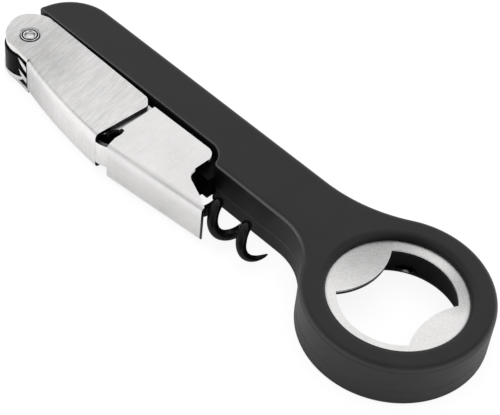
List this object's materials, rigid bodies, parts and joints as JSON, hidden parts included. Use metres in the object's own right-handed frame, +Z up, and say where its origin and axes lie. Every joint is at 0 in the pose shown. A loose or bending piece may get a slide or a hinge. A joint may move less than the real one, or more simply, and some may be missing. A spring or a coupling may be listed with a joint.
{
  "type": "waiter's corkscrew",
  "caption": "Folding waiter's corkscrew with a hinged lever, a coiled worm, and a ring end that holds a crown-cap opener plate and foil-cutting wheels.",
  "frame": {"origin": "centre of the underside's bounding box, where the closed corkscrew lies on a table", "axes": "+X along the handle from the lever's pivot to the ring, +Z up through the handle's height, the lever on the -Y side"},
  "size_m": [0.1527, 0.046, 0.013],
  "materials": {
    "soft_black": "soft-touch coating",
    "gloss_black": "smooth black coating",
    "brushed_steel": "fine brushed",
    "bright_steel": "polished"
  },
  "bodies": {
    "handle": {"upper_shell": "soft_black", "lower_shell": "soft_black", "shell_screws": "bright_steel", "core_frame": "gloss_black", "pivot_washer_top": "bright_steel", "pivot_washer_bottom": "bright_steel", "pivot_spring": "bright_steel", "worm_pin": "bright_steel", "opener_plate": "brushed_steel", "cutter_ring": "gloss_black", "foil_wheel_pin_1": "bright_steel", "foil_wheel_pin_2": "bright_steel", "foil_wheel_pin_3": "bright_steel"},
    "lever_upper": {"lever_arm_upper": "brushed_steel", "lever_rivet": "bright_steel", "hinge_rivets": "bright_steel"},
    "lever_lower": {"lever_arm_lower": "brushed_steel"},
    "worm": {"worm": "gloss_black", "worm_barrel": "gloss_black"},
    "foil_wheel_1": {"foil_wheel_1": "bright_steel"},
    "foil_wheel_2": {"foil_wheel_2": "bright_steel"},
    "foil_wheel_3": {"foil_wheel_3": "bright_steel"}
  },
  "joints": [
    {"name": "lever_swing", "type": "hinge", "parent": "handle", "child": "lever_upper", "pos_m": [-0.0685, -0.0085, 0.0065], "axis": [0, 0, -1], "range_deg": [0, 150]},
    {"name": "lower_arm_swing", "type": "hinge", "parent": "lever_upper", "child": "lever_lower", "pos_m": [-0.0326, -0.0148, 0.0065], "axis": [0, 0, -1], "range_deg": [0, 45]},
    {"name": "worm_swing", "type": "hinge", "parent": "handle", "child": "worm", "pos_m": [-0.0335, -0.0119, 0.0065], "axis": [0, 0, -1], "range_deg": [0, 90]},
    {"name": "foil_wheel_1_spin", "type": "hinge", "parent": "handle", "child": "foil_wheel_1", "pos_m": [0.0718, 0, 0.002], "axis": [0, 0, 1], "continuous": true},
    {"name": "foil_wheel_2_spin", "type": "hinge", "parent": "handle", "child": "foil_wheel_2", "pos_m": [0.04435, 0.01585, 0.002], "axis": [0, 0, 1], "continuous": true},
    {"name": "foil_wheel_3_spin", "type": "hinge", "parent": "handle", "child": "foil_wheel_3", "pos_m": [0.04435, -0.01585, 0.002], "axis": [0, 0, 1], "continuous": true}
  ],
  "couplings": [
    {"joint": "worm_swing", "follows": "lever_swing", "ratio": 0.6}
  ]
}
